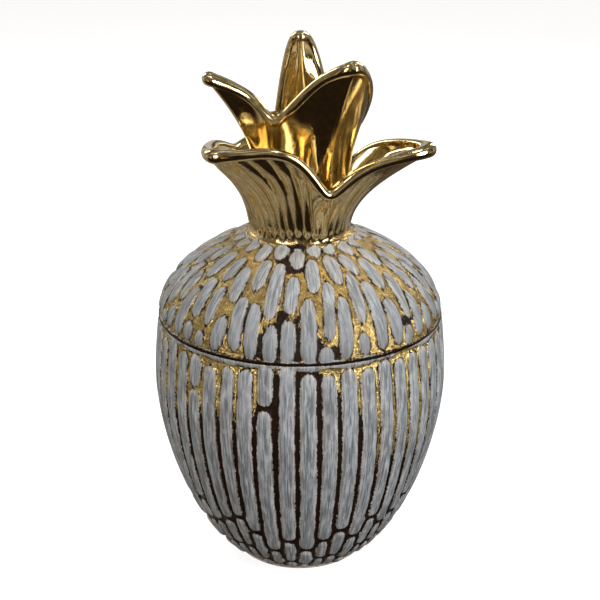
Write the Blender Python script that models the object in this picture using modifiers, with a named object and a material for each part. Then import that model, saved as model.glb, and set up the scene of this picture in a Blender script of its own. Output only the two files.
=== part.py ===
"""A lidded ceramic jar in the shape of a pineapple: a fluted, egg-shaped bowl and a domed lid with a leaf crown.

Metres, +Z up. The origin is the centre of the foot, on the surface that the jar stands on.
Azimuths are in degrees, 0 towards the front (-Y) and positive towards +X.
"""

import math

import bmesh
import bpy
from mathutils import Vector

# Driving dimensions of the jar
WIDEST_RADIUS = 0.080
WIDEST_HEIGHT = 0.1065
FOOT_RADIUS = 0.038
FOOT_RECESS_RADIUS = 0.030
FOOT_RECESS_DEPTH = 0.002
RIM_RADIUS = 0.0771
RIM_HEIGHT = 0.1425
WALL = 0.005
FLOOR = 0.006
FLOOR_DISH = 0.0015
HOLLOW_CORNER = (0.0385, 0.014)
HOLLOW_FLOOR_RADIUS = 0.033
HOLLOW_DEPTHS = (0.0, 0.0215, 0.043, 0.0645, 0.086, 0.1075)
SEAM_GAP = 0.0003

# Driving dimensions of the lid
FLANGE_DEPTH = 0.006
FLANGE_CLEARANCE = 0.0013
FLANGE_THICKNESS = 0.004
FLANGE_ROOT = 0.002
DOME_WALL = 0.005
DOME_WALL_ACROSS = 0.7 * DOME_WALL
DOME_WALL_UP = 0.8 * DOME_WALL
COLLAR_RADIUS = 0.030
COLLAR_HEIGHT = 0.1866
COLLAR_RISE = 0.001
NECK_HOLLOW_RADIUS = 0.019
CROWN_HOLLOW = ((0.0, 0.218), (0.012, 0.216), (0.0155, 0.209))
LID_HOLLOW_LENGTHS = (0.058, 0.044, 0.030, 0.016)
LID_HOLLOW_FOOT = 0.003

# How far a cutter runs past the face that it cuts
OVERCUT = 0.01

# Carving: upright strips with pebbles below them on the jar, staggered lozenges on the lid
FLUTES = 46
FLUTE_PITCH = 360.0 / FLUTES
GROOVE_AZIMUTH = -1.2
GROOVE_SHARE = 0.14
GROOVE_DEPTH = 0.0013
STRIP_TOP = 0.1368
STRIP_FOOT = 0.0395
PEBBLE_GAPS = (0.035, 0.0145)
PEBBLE_CROWNS = (0.0245, 0.007)
RIM_LIP = 0.0026
LIP_GROOVE = 0.0012
LOZENGE_AZIMUTH = 3.4
LOZENGE_ROWS = (0.008, 0.020, 0.032, 0.044, 0.056)
COARSE_LOZENGE_ROW = 4
DOME_TOP_LENGTH = 0.063
LID_LIP = 0.0018
STRIP_ROWS = 5

# How near a point's height has to be to a row's to belong to it, and how near the axis a point counts as on it
ROW_REACH = 0.0005
AXIS_REACH = 0.001

# Crown: each tier is a flaring cup whose rim rises into three leaves
LEAF_WALL = 0.0036
LIP_RADIUS = 0.0027
LIP_ANGLES = (-115, -60, 0, 60, 115)
SWELLING_SHARE = 0.38
OUTER_CLIMBS = (0.0, 0.3, 0.6, 0.9)
INNER_CLIMBS = (0.8, 0.5, 0.3, 0.15, 0.0)
CORE_CLIMBS = (0.0, 0.25, 0.5, 0.75, 1.0)
CROWN_FLUTES = 40
CROWN_FLUTE_DEPTH = 0.0011
CORE_FOOT = 0.004
TROUGH_HEIGHT = 0.2125
CUP_FLOOR_HEIGHT = 0.224
TIP_CROWDING = 2.0
VALLEY_ROUNDING = 0.12
VALLEY_BEND = 0.45

# The leaves are shallow channels: how much of the space below the rim is filled, how far below the rim that starts, and
# over what reach it comes in
FILL = 0.75
FILL_SINK = 0.0022
FILL_REACH = 0.008
FILL_HASTE = 2.5


def leaf(azimuth, reach, height, narrow, slope, late, width=(1.0, 1.0), bend=0.45, swelling=0.0007, blunt=0.07):
    """A leaf, from where its tip is: a pair holds a value for the side before it and one for the side after it.

    Narrow says how fast the leaf narrows, width what share of the way to the valley it takes, slope how much of the
    rim's fall comes at once beside the tip, late how long the rest of the fall waits, bend how far the wall leans out
    below the rim, swelling how much the lip swells at the tip, and blunt how round the tip is.
    """
    return {
        "azimuth": azimuth,
        "reach": reach,
        "height": height,
        "narrow": narrow,
        "slope": slope,
        "late": late,
        "width": width,
        "bend": bend,
        "swelling": swelling,
        "blunt": blunt,
    }


def valley(azimuth, reach, height):
    return {"azimuth": azimuth, "reach": reach, "height": height}


LOWER_TIER = {
    "base": (0.0247, 0.1885),
    "centre": Vector((0.0003, 0.0, 0.0)),
    "rise": (0.01, 0.47, 0.225),
    "leaves": (
        leaf(-42.0, 0.0632, 0.2402, (0.42, 0.42), (0.50, -0.22), 3.0, bend=0.44, swelling=0.0010),
        leaf(78.0, 0.0668, 0.2348, (0.42, 0.42), (0.42, 0.27), 2.6, bend=0.37, swelling=0.0014, blunt=0.11),
        leaf(186.0, 0.0600, 0.2330, (0.42, 0.30), (0.50, 0.80), 2.5, bend=0.48),
    ),
    "valleys": (
        valley(22.0, 0.0385, 0.2168),
        valley(138.0, 0.0385, 0.2165),
        valley(240.0, 0.0400, 0.2268),
    ),
}
UPPER_TIER = {
    "base": (0.0215, 0.206),
    "centre": Vector((0.0018, 0.0, 0.0)),
    "rise": (0.02, 0.45, 0.24),
    "leaves": (
        leaf(-86.0, 0.0480, 0.2690, (0.22, 0.20), (1.22, 1.20), 2.0, bend=0.49, swelling=0.0011),
        leaf(33.0, 0.0436, 0.2808, (0.24, 0.74), (0.96, 0.96), 7.4, (0.98, 1.0), swelling=0.0012, blunt=0.13),
        leaf(185.0, 0.0200, 0.2862, (0.60, 0.60), (0.0, 0.0), 2.2, (0.43, 0.62)),
    ),
    "valleys": (
        valley(-33.0, 0.0260, 0.2510),
        valley(106.0, 0.0285, 0.2440),
        valley(226.0, 0.0265, 0.2440),
    ),
}

HOLLOW_STEPS = 30
UPPER_COLUMNS = 36


def cubic(points, t):
    """The point at t on the cubic curve through the first and last of four control points."""
    weights = ((1 - t) ** 3, 3 * (1 - t) ** 2 * t, 3 * (1 - t) * t**2, t**3)
    return tuple(sum(w * p[axis] for w, p in zip(weights, points)) for axis in range(2))


BELLY_CURVE = (
    (WIDEST_RADIUS, WIDEST_HEIGHT),
    (WIDEST_RADIUS, WIDEST_HEIGHT - 0.027),
    (FOOT_RADIUS + 0.0285, 0.0238),
    (FOOT_RADIUS, 0.0),
)
SHOULDER_CURVE = (
    (WIDEST_RADIUS, WIDEST_HEIGHT),
    (WIDEST_RADIUS, WIDEST_HEIGHT + 0.012),
    (RIM_RADIUS + 0.0012, RIM_HEIGHT - 0.012),
    (RIM_RADIUS, RIM_HEIGHT),
)
DOME_CURVE = (
    (RIM_RADIUS, RIM_HEIGHT + SEAM_GAP),
    (RIM_RADIUS - 0.0007, RIM_HEIGHT + 0.0208),
    (COLLAR_RADIUS + 0.0225, COLLAR_HEIGHT - 0.0082),
    (COLLAR_RADIUS, COLLAR_HEIGHT),
)


def radius_at(curve, height):
    """The radius at a height, found by halving, on a curve whose height only rises or only falls."""
    low, high = 0.0, 1.0
    rising = curve[3][1] > curve[0][1]
    for _ in range(40):
        middle = (low + high) / 2
        if (cubic(curve, middle)[1] < height) == rising:
            low = middle
        else:
            high = middle
    return cubic(curve, low)[0]


def jar_radius(height):
    """The jar's envelope, over the tops of its strips."""
    curve = SHOULDER_CURVE if height > WIDEST_HEIGHT else BELLY_CURVE
    return radius_at(curve, height)


def dome_point(length):
    """The point of the dome's profile at a length along it from the seam."""
    steps = 200
    walked = 0.0
    before = DOME_CURVE[0]
    for step in range(1, steps + 1):
        after = cubic(DOME_CURVE, step / steps)
        walked += math.dist(before, after)
        if walked >= length:
            return after
        before = after
    return DOME_CURVE[3]


def material(name, colour, metallic, roughness):
    made = bpy.data.materials.new(name)
    made.use_nodes = True
    shader = made.node_tree.nodes["Principled BSDF"]
    shader.inputs["Base Color"].default_value = (*colour, 1.0)
    shader.inputs["Metallic"].default_value = metallic
    shader.inputs["Roughness"].default_value = roughness
    return made


def applied(obj):
    """Replaces the object's mesh by the one that its modifiers make, and removes them."""
    bpy.context.view_layer.update()
    graph = bpy.context.evaluated_depsgraph_get()
    made = bpy.data.meshes.new_from_object(obj.evaluated_get(graph))
    obj.modifiers.clear()
    obj.data = made
    return obj


def turned(name, outline, steps, collection):
    """A turned solid: the outline is (radius, height) from its top to its bottom."""
    mesh = bpy.data.meshes.new(name)
    points = [(radius, 0.0, height) for radius, height in outline]
    edges = [(index, index + 1) for index in range(len(points) - 1)]
    mesh.from_pydata(points, edges, [])
    obj = bpy.data.objects.new(name, mesh)
    collection.objects.link(obj)
    turn = obj.modifiers.new("Turn", "SCREW")
    turn.steps = steps
    turn.render_steps = steps
    turn.use_merge_vertices = True
    turn.merge_threshold = 0.00001
    return applied(obj)


def carve(obj, steps, moved):
    """Moves each point of a turned solid: moved gives its new (azimuth, radius) from (column, height, radius)."""
    for vertex in obj.data.vertices:
        radius = math.hypot(vertex.co.x, vertex.co.y)
        if radius < AXIS_REACH:
            continue
        angle = math.degrees(math.atan2(vertex.co.y, vertex.co.x))
        column = round(angle * steps / 360.0) % steps
        azimuth, radius = moved(column, vertex.co.z, radius)
        vertex.co.x = radius * math.sin(math.radians(azimuth))
        vertex.co.y = -radius * math.cos(math.radians(azimuth))


def split_along_grooves(obj):
    """Cuts each four-sided face along the diagonal that lies deeper, so that grooves run round the raised spots."""
    shape = bmesh.new()
    shape.from_mesh(obj.data)
    for face in [face for face in shape.faces if len(face.verts) == 4]:
        a, b, c, d = face.verts
        first = (a.co + c.co).to_2d().length
        second = (b.co + d.co).to_2d().length
        ends = (a, c) if first < second else (b, d)
        bmesh.utils.face_split(face, *ends)
    shape.to_mesh(obj.data)
    shape.free()


def joined(obj, other, operation):
    """Joins the other solid to the object or cuts it away, and keeps the other as a hidden cutter."""
    boolean = obj.modifiers.new(other.name, "BOOLEAN")
    boolean.operation = operation
    boolean.solver = "EXACT"
    boolean.object = other
    other.hide_render = True
    other.display_type = "WIRE"
    return applied(obj)


def jar_flute(column, height, radius):
    """A groove's bottom, then the two edges of the strip beside it."""
    flute, role = divmod(column, 3)
    share = (0.0, GROOVE_SHARE, 1.0 - GROOVE_SHARE)[role]
    azimuth = GROOVE_AZIMUTH + (flute + share) * FLUTE_PITCH
    lip_foot = RIM_HEIGHT - RIM_LIP
    carved = height < lip_foot - LIP_GROOVE / 2 and height > ROW_REACH
    if not carved:
        return azimuth, radius
    gap = any(abs(height - level) < ROW_REACH for level in (*PEBBLE_GAPS, lip_foot - LIP_GROOVE))
    if gap or role == 0:
        radius -= GROOVE_DEPTH
    return azimuth, radius


def make_jar(collection, cutters):
    """The bowl: a carved outside, a smooth hollow inside and a recess in its foot."""
    rows = [row / (STRIP_ROWS - 1) for row in range(STRIP_ROWS)]
    strips = [STRIP_TOP + (STRIP_FOOT - STRIP_TOP) * row for row in rows]
    below = sorted((*PEBBLE_GAPS, *PEBBLE_CROWNS), reverse=True)
    levels = [RIM_HEIGHT - RIM_LIP, RIM_HEIGHT - RIM_LIP - LIP_GROOVE, *strips, *below]
    outline = [(0.0, RIM_HEIGHT), (RIM_RADIUS, RIM_HEIGHT)]
    outline += [(jar_radius(level), level) for level in levels]
    outline += [(FOOT_RADIUS, 0.0), (0.0, 0.0)]
    steps = 3 * FLUTES
    jar = turned("jar", outline, steps, collection)
    carve(jar, steps, jar_flute)

    hollow = [(0.0, RIM_HEIGHT + OVERCUT), (RIM_RADIUS - WALL, RIM_HEIGHT + OVERCUT)]
    hollow += [(jar_radius(RIM_HEIGHT - depth) - WALL, RIM_HEIGHT - depth) for depth in HOLLOW_DEPTHS]
    hollow += [HOLLOW_CORNER, (HOLLOW_FLOOR_RADIUS, FLOOR + FLOOR_DISH), (0.0, FLOOR + FOOT_RECESS_DEPTH)]
    joined(jar, turned("jar_hollow", hollow, HOLLOW_STEPS, cutters), "DIFFERENCE")

    recess = [(0.0, FOOT_RECESS_DEPTH), (FOOT_RECESS_RADIUS, FOOT_RECESS_DEPTH)]
    recess += [(FOOT_RECESS_RADIUS, -OVERCUT), (0.0, -OVERCUT)]
    joined(jar, turned("foot_recess", recess, HOLLOW_STEPS, cutters), "DIFFERENCE")
    return jar


def dome_lozenge(column, height, radius):
    """Raised lozenges on every other column, staggered from row to row and fewer near the collar."""
    azimuth = LOZENGE_AZIMUTH + column * FLUTE_PITCH / 2
    for row, length in enumerate(LOZENGE_ROWS):
        if abs(height - dome_point(length)[1]) > ROW_REACH or radius < COLLAR_RADIUS:
            continue
        if row == COARSE_LOZENGE_ROW:
            raised = (1.0, 0.5, 0.0, 0.5)[column % 4]
        else:
            raised = 1.0 if column % 2 == row % 2 else 0.0
        radius -= GROOVE_DEPTH * (1.0 - raised)
    return azimuth, radius


def soften(share, width):
    """Rounds a corner at share 0 over the given width, and keeps 0 and 1 where they are."""
    return (math.hypot(share, width) - width) / (math.hypot(1.0, width) - width)


def rim_point(tier, leaf_index, side, share):
    """(azimuth, radius, height) on a tier's rim, at a share of the way from a leaf's tip to a valley beside it."""
    tip = tier["leaves"][leaf_index]
    low = tier["valleys"][leaf_index if side > 0 else leaf_index - 1]
    span = ((low["azimuth"] - tip["azimuth"]) * side) % 360.0
    azimuth = tip["azimuth"] + side * span * share
    beside = 1 if side > 0 else 0
    rounded = 1.0 - soften(max(1.0 - share / tip["width"][beside], 0.0), VALLEY_ROUNDING)
    rounded = soften(rounded, tip["blunt"])
    reach = math.exp(-rounded / tip["narrow"][beside]) * (1.0 - rounded**2)
    slope = tip["slope"][beside]
    rise = 1.0 - slope * rounded**0.9 - (1.0 - slope) * rounded ** tip["late"]
    radius = low["reach"] + (tip["reach"] - low["reach"]) * reach
    height = low["height"] + (tip["height"] - low["height"]) * rise
    return azimuth, radius, height


def leaf_share(tier, azimuth):
    """The leaf that an azimuth at the base belongs to, its side, and the share of the way to the valley there."""
    for index, tip in enumerate(tier["leaves"]):
        past = (azimuth - tip["azimuth"]) % 360.0
        short = (tip["azimuth"] - azimuth) % 360.0
        span_past = (tier["valleys"][index]["azimuth"] - tip["azimuth"]) % 360.0
        span_short = (tip["azimuth"] - tier["valleys"][index - 1]["azimuth"]) % 360.0
        if past <= span_past:
            return index, 1, past / span_past
        if short <= span_short:
            return index, -1, short / span_short
    raise ValueError(f"no leaf at {azimuth}")


def wall_point(tier, azimuth, climb):
    """A point of the middle of a tier's wall: azimuth is the one at its base, climb runs from 0 there to 1 at the rim."""
    index, side, share = leaf_share(tier, azimuth)
    end_out = VALLEY_BEND + (tier["leaves"][index]["bend"] - VALLEY_BEND) * (1.0 - share) ** 2
    rim_azimuth, rim_radius, rim_height = rim_point(tier, index, side, share**TIP_CROWDING)
    base_radius, base_height = tier["base"]
    out, up = rim_radius - base_radius, rim_height - base_height
    start_out, start_up, end_up = tier["rise"]
    curve = (
        tier["base"],
        (base_radius + start_out * out, base_height + start_up * up),
        (rim_radius - end_out * out, rim_height - end_up * up),
        (rim_radius, rim_height),
    )
    radius, height = cubic(curve, climb)
    turn = (rim_azimuth - azimuth + 180.0) % 360.0 - 180.0
    angle = math.radians(azimuth + turn * climb)
    return tier["centre"] + Vector((radius * math.sin(angle), -radius * math.cos(angle), height))


def wall_frame(tier, azimuth, climb):
    """The wall's middle point, its outward normal and the direction across its rim."""
    step_round, step_up = 0.5, 0.01
    point = wall_point(tier, azimuth, climb)
    along = wall_point(tier, azimuth + step_round, climb) - wall_point(tier, azimuth - step_round, climb)
    up = wall_point(tier, azimuth, climb) - wall_point(tier, azimuth, climb - step_up)
    outward = along.cross(up).normalized()
    across = outward.cross(along).normalized()
    if across.dot(up) < 0:
        across = -across
    return point, outward, across


def wall_ring(tier, azimuths, climb, offset):
    """One ring of points round a tier, offset outwards from the wall's middle."""
    ring = []
    for column, azimuth in enumerate(azimuths):
        point, outward, _ = wall_frame(tier, azimuth, climb)
        ring.append(point + outward * offset(column))
    return ring


def lip_ring(tier, azimuths, angle):
    """One ring of points round a tier's rolled lip, which swells a little at the tips of the leaves."""
    ring = []
    for azimuth in azimuths:
        point, outward, across = wall_frame(tier, azimuth, 1.0)
        index, _, share = leaf_share(tier, azimuth)
        swelling = tier["leaves"][index]["swelling"] * math.exp(-((share / SWELLING_SHARE) ** 2))
        radius = LIP_RADIUS + swelling
        ring.append(point + outward * radius * -math.sin(angle) + across * radius * math.cos(angle))
    return ring


def rim_height_at(tier, index, side, reach):
    """The rim's height at a reach from the tier's axis, found by halving between a leaf's tip and a valley."""
    low, high = 0.0, 1.0
    for _ in range(20):
        middle = (low + high) / 2
        if rim_point(tier, index, side, middle)[1] > reach:
            low = middle
        else:
            high = middle
    return rim_point(tier, index, side, low)[2]


def filled(tier, azimuth, point):
    """Raises a point of a wall's inner side that lies well below the rim at the same reach."""
    index, side, _ = leaf_share(tier, azimuth)
    inmost = rim_point(tier, index, side, 1.0)[1]
    outmost = rim_point(tier, index, side, 0.0)[1]
    if outmost <= inmost:
        return point
    reach = (point - tier["centre"]).to_2d().length
    share = min(max((reach - inmost) / max(outmost - inmost, FILL_REACH) * FILL_HASTE, 0.0), 1.0)
    short = max(rim_height_at(tier, index, side, reach) - FILL_SINK - point.z, 0.0)
    return point + Vector((0.0, 0.0, FILL * share * short))


def climb_to(tier, azimuth, height):
    """The climb at which a tier's wall reaches a height, found by halving."""
    low, high = 0.0, 1.0
    for _ in range(24):
        middle = (low + high) / 2
        if wall_point(tier, azimuth, middle).z < height:
            low = middle
        else:
            high = middle
    return low


def ringed(name, rings, capped, collection):
    """A solid over rings of points: capped at both ends, or closed from the last ring back to the first."""
    columns = len(rings[0])
    points = [point for ring in rings for point in ring]
    faces = []
    for row in range(len(rings) - 1 if capped else len(rings)):
        for column in range(columns):
            across = (column + 1) % columns
            upper = (row + 1) % len(rings)
            faces.append(
                (row * columns + column, row * columns + across, upper * columns + across, upper * columns + column)
            )
    if capped:
        faces.append(tuple(reversed(range(columns))))
        faces.append(tuple(range(len(points) - columns, len(points))))
    mesh = bpy.data.meshes.new(name)
    mesh.from_pydata(points, [], faces)
    obj = bpy.data.objects.new(name, mesh)
    collection.objects.link(obj)
    return obj


def make_tier(name, tier, columns, flute, collection):
    """A tier of the crown: a closed wall with a rolled lip on its rim."""
    azimuths = [360.0 * column / columns for column in range(columns)]
    half = LEAF_WALL / 2
    rings = []
    for climb in OUTER_CLIMBS:
        rings.append(wall_ring(tier, azimuths, climb, lambda column: half + flute * (column % 2)))
    for angle in LIP_ANGLES:
        rings.append(lip_ring(tier, azimuths, math.radians(angle)))
    for climb in INNER_CLIMBS:
        ring = wall_ring(tier, azimuths, climb, lambda column: -half)
        rings.append([filled(tier, azimuth, point) for azimuth, point in zip(azimuths, ring)])
    return ringed(name, rings, False, collection)


def make_trough(columns, collection):
    """What fills the lower tier up to the trough between the tiers: its sides run inside the lower tier's wall."""
    azimuths = [360.0 * column / columns for column in range(columns)]
    tops = [climb_to(LOWER_TIER, azimuth, TROUGH_HEIGHT) for azimuth in azimuths]
    rings = []
    for share in CORE_CLIMBS:
        rings.append([wall_point(LOWER_TIER, azimuth, share * top) for azimuth, top in zip(azimuths, tops)])
    for point in rings[-1]:
        point.z = TROUGH_HEIGHT
    rings.insert(0, [point - Vector((0.0, 0.0, CORE_FOOT)) for point in rings[0]])
    return ringed("trough", rings, True, collection)


def lid_hollow(flange_inside, seam, flange_foot):
    """The outline of the hollow below the lid, from its top in the crown down to the flange's mouth."""
    inside = [*CROWN_HOLLOW, (NECK_HOLLOW_RADIUS, COLLAR_HEIGHT)]
    for length in LID_HOLLOW_LENGTHS:
        radius, height = dome_point(length)
        inside.append((radius - DOME_WALL_ACROSS, height - DOME_WALL_UP))
    inside += [(flange_inside, seam + LID_HOLLOW_FOOT), (flange_inside, flange_foot - OVERCUT)]
    return [*inside, (0.0, flange_foot - OVERCUT)]


def make_lid(collection, cutters):
    """The lid: a carved dome with a flange that sits in the jar's mouth, and two tiers of leaves on its neck."""
    seam = RIM_HEIGHT + SEAM_GAP
    flange_radius = RIM_RADIUS - WALL - FLANGE_CLEARANCE
    flange_foot = RIM_HEIGHT - FLANGE_DEPTH
    outline = [(0.0, COLLAR_HEIGHT + COLLAR_RISE), (COLLAR_RADIUS, COLLAR_HEIGHT + COLLAR_RISE)]
    outline += [dome_point(length) for length in (DOME_TOP_LENGTH, *reversed(LOZENGE_ROWS), LID_LIP)]
    outline += [(RIM_RADIUS, seam), (0.0, seam)]
    steps = 2 * FLUTES
    lid = turned("lid", outline, steps, collection)
    carve(lid, steps, dome_lozenge)
    split_along_grooves(lid)
    root = seam + FLANGE_ROOT
    flange = [(0.0, root), (flange_radius, root), (flange_radius, flange_foot), (0.0, flange_foot)]
    joined(lid, turned("flange", flange, HOLLOW_STEPS, cutters), "UNION")

    upper_radius = UPPER_TIER["base"][0]
    core = [(0.0, CUP_FLOOR_HEIGHT), (upper_radius, CUP_FLOOR_HEIGHT)]
    core += [(upper_radius, TROUGH_HEIGHT - CORE_FOOT), (0.0, TROUGH_HEIGHT - CORE_FOOT)]
    lower_columns = 2 * CROWN_FLUTES
    joined(lid, make_trough(lower_columns, cutters), "UNION")
    joined(lid, turned("cup_core", core, HOLLOW_STEPS, cutters), "UNION")
    joined(lid, make_tier("lower_leaves", LOWER_TIER, lower_columns, CROWN_FLUTE_DEPTH, cutters), "UNION")
    joined(lid, make_tier("upper_leaves", UPPER_TIER, UPPER_COLUMNS, 0.0, cutters), "UNION")

    outline = lid_hollow(flange_radius - FLANGE_THICKNESS, seam, flange_foot)
    joined(lid, turned("lid_hollow", outline, HOLLOW_STEPS, cutters), "DIFFERENCE")
    return lid


def main():
    for obj in list(bpy.data.objects):
        bpy.data.objects.remove(obj, do_unlink=True)
    pieces = bpy.data.collections.new("pineapple_jar")
    cutters = bpy.data.collections.new("cutters")
    bpy.context.scene.collection.children.link(pieces)
    bpy.context.scene.collection.children.link(cutters)
    glaze = material("painted_glaze", (0.42, 0.42, 0.40), 0.0, 0.55)
    lustre = material("gold_lustre", (0.45, 0.32, 0.13), 1.0, 0.18)
    make_jar(pieces, cutters).data.materials.append(glaze)
    lid = make_lid(pieces, cutters)
    lid.data.materials.append(lustre)
    for obj in pieces.objects:
        obj.data.shade_smooth()
        obj.data.set_sharp_from_angle(angle=math.radians(35))
    cutters.hide_render = True


main()
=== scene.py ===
"""The looks of a lidded ceramic pineapple jar: carved pads under brushed paint, gold lustre and brown glaze.

Metres, +Z up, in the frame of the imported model. The relief and the paint are worked out in millimetres.
Azimuths are in degrees, 0 towards the front (-Y) and positive towards +X.
"""

import itertools
import math

import bpy
import numpy as np
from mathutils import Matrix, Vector


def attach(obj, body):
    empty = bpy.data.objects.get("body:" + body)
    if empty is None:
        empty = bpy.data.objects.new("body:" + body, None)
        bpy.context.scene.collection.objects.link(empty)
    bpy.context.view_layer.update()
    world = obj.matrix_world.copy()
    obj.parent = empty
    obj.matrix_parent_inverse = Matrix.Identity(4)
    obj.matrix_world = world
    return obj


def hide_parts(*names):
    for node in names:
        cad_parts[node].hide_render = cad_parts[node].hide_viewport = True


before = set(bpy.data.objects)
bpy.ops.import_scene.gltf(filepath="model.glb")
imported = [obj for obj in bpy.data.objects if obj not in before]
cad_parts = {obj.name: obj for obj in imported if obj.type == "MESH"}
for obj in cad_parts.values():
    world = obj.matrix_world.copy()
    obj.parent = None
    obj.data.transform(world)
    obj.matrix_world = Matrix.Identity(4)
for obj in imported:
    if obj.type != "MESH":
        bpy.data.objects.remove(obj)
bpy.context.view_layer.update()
MM = 0.001

# The jar's and the lid's turned profiles, as control points (radius, height) of cubic curves, in millimetres
RIM_RADIUS = 77.1
RIM_HEIGHT = 142.5
WALL = 5.0
FLOOR = 6.0
SEAM_GAP = 0.3
SEAM = RIM_HEIGHT + SEAM_GAP
FOOT_RADIUS = 38.0
RECESS_RADIUS = 30.0
RECESS_DEPTH = 2.0
WIDEST_RADIUS = 79.8
WIDEST_HEIGHT = 106.5
SHOULDER = (
    (WIDEST_RADIUS, WIDEST_HEIGHT),
    (WIDEST_RADIUS, WIDEST_HEIGHT + 12.0),
    (RIM_RADIUS + 1.2, RIM_HEIGHT - 12.0),
    (RIM_RADIUS, RIM_HEIGHT),
)
BELLY = (
    (WIDEST_RADIUS, WIDEST_HEIGHT),
    (WIDEST_RADIUS, WIDEST_HEIGHT - 27.0),
    (FOOT_RADIUS + 28.5, 23.8),
    (FOOT_RADIUS, 0.0),
)
COLLAR_RADIUS = 30.0
COLLAR_HEIGHT = 186.6
DOME = (
    (RIM_RADIUS, SEAM),
    (RIM_RADIUS - 0.7, RIM_HEIGHT + 20.8),
    (COLLAR_RADIUS + 22.5, COLLAR_HEIGHT - 8.2),
    (COLLAR_RADIUS, COLLAR_HEIGHT),
)
# The uneven bead round the foot of the crown, as steps (outwards, upwards) from the collar
BEAD = ((0.2, -0.1), (0.1, 0.9), (-0.8, 1.7), (-2.0, 1.9), (-2.9, 1.7))
CURVE_STEPS = 200
DOME_STEPS = 300

# The inside of both pieces
INSIDE_HEIGHTS = (22.0, 32.0, 45.0, 60.0, 80.0, WIDEST_HEIGHT - 0.5, 125.0, RIM_HEIGHT - 0.6)
FLANGE_DEPTH = 6.0
CLEARANCE = 1.3
FLANGE_THICKNESS = 4.0
FLANGE_CORNER = 0.5
FLANGE_FILLET = 3.0
DOME_WALL = 5.0
DOME_WALL_SHARES = (0.7, 0.8)
CROWN_HOLLOW = ((8.0, 217.0), (12.0, 216.0), (15.5, 209.0), (19.0, COLLAR_HEIGHT))
LID_HOLLOW_LENGTHS = (58.0, 44.0, 30.0, 16.0)

# Relief of the pads, and the soft edges beside the parting line
RELIEF = 1.5
RELIEF_START = 0.35
PAD_ROUNDING = 2.9
PAD_FULLNESS = 0.9
PAD_TAPER = 0.08
END_STRETCH = 2.2
STRIP_END_STRETCH = 1.15
EDGE_ROUNDING = 1.0
EDGE_CORNER = 0.3
EDGE_INSET = 0.1
GROOVE_WIDTH = 2.1
DOME_GROOVE_WIDTH = 1.5
GROOVE_LOSS = 0.5
JAR_LIP = 2.5
LID_LIP = 1.2
NO_PAINT = -10.0
# Ridge value on the rounded edges at the parting line: no paint and no gold there, so bare dark glaze lines
# the seam as painted shade of the gap between the pieces
SEAM_SHADE_RIDGE = -1.0
FAR = 99.0

# The meshes' rings and columns
TOP_REACH = 10.0
TOP_STEP = 0.85
MIDDLE_REACH = 90.0
MIDDLE_STEP = 2.0
BOTTOM_RINGS = 56
FOOT_MARGIN = 0.8
DOME_RINGS = 64
DOME_MARGIN = 0.6
LID_COLUMNS = (800, 400, 200)
COLUMN_SHARES = np.array(
    (0.0, 0.05, 0.10, 0.15, 0.20, 0.26, 0.34, 0.44, 0.56, 0.66, 0.74, 0.80, 0.85, 0.90, 0.95)
)
SHARP_ANGLE = 62.0
# What the columns of a ring of points hold after x, y and z
RIDGE, GILT, GRAIN, POLISH, WIDTH = 3, 4, slice(5, 8), 8, 9

# Noise: numbers that scatter its cells, the drum that it is laid on, layers (height, size) and the
# starting numbers of all random draws
CELL_STEPS = np.array((73856093, 19349663, 83492791))
SEED_STEP = 6542989
SCATTER = 1274126177
DRUM_RADIUS = 80.0
EDGE_WANDER = ((0.34, 5.0), (0.22, 2.2))
LIP_EDGE_WANDER = ((0.5, 6.0),)
LIP_WIDTH_WANDER = ((0.45, 14.0), (0.25, 4.0))
GOLD_WANDER = ((2.5, 9.0),)
GOLD_WANDER_STRETCH = 0.3
GOLD_FADE = 9.0
LID_GOLD_WANDER = ((0.35, 8.0),)
BEAD_WANDER = ((0.35, 9.0),)
SPILL_WANDER = ((1.6, 12.0),)
SPILL_FALL = 1.4
FLUTE_WANDER = ((38.0, 11.0),)
SEEDS = {"jar": 46, "jar_gold": 21, "lid": 7, "lid_gold": 51, "bead": 31, "spill": 33, "flutes": 5}
# Those of the lip's width, of its edge and of the pads' edges
JAR_SEEDS = (61, 7, 11)
LID_SEEDS = (63, 8, 12)

# The crown's tiers: each is a flaring cup whose rim rises into three leaves
LEAF_WALL = 3.6
LIP_RADIUS = 2.7
LIP_START = 2.3
LIP_SWEEP = 132.0
LIP_RINGS = 15
SWELLING_SHARE = 0.38
FILL = 0.75
FILL_SINK = 2.2
FILL_REACH = 8.0
FILL_HASTE = 2.5
CROWN_FLUTES = 40
CROWN_FLUTE_DEPTH = 1.3
FIRST_CROWN_FLUTE = -10.3
FLUTE_ROUNDNESS = 0.9
FLUTE_HEIGHT = 40.0
FLUTE_FADES = (0.06, 0.22)
# Where the flutes die away: the azimuth, how far round, and what is left there
SMOOTH_PLACE = (70.0, 55.0, 0.05)
TROUGH_HEIGHT = 212.5
CUP_HEIGHT = 224.0
TIP_CROWDING = 2.0
VALLEY_ROUNDING = 0.12
VALLEY_BEND = 0.45
SLOPE_BEND = 0.9
NICK_SHARE = 0.0015
FRAME_TURN = 0.5
FRAME_CLIMB = 0.01
HALVINGS = 24
# How far above the trough's and the cup's floor the walls start, and the rings up each wall
TROUGH_STARTS = (0.6, 0.8)
CUP_START = 0.8
LOWER_RINGS = (20, 10)
UPPER_RINGS = (18, 12)
FIRST_LOWER_SHARE = 0.03
TROUGH_SHARES = (0.3, 0.7)
CUP_SHARES = (0.85, 0.5, 0.1)

# Dark pits in the gold round the collar: azimuth, height, size across in degrees and size upwards
PIT_DEPTH = 1.6
COLLAR_PITS = (
    (-10, 187.3, 6, 0.9), (0, 187.6, 7, 0.8), (-4, 186.4, 9, 0.7), (24, 189.5, 2.6, 1.3),
    (31, 188.2, 3.5, 1), (29, 192.5, 2, 0.8), (36, 190.3, 2.2, 1), (21, 194.5, 1.4, 1.6),
    (105, 188, 6, 0.9), (190, 187.5, 9, 0.8), (255, 189, 3, 1.2),
)
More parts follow.
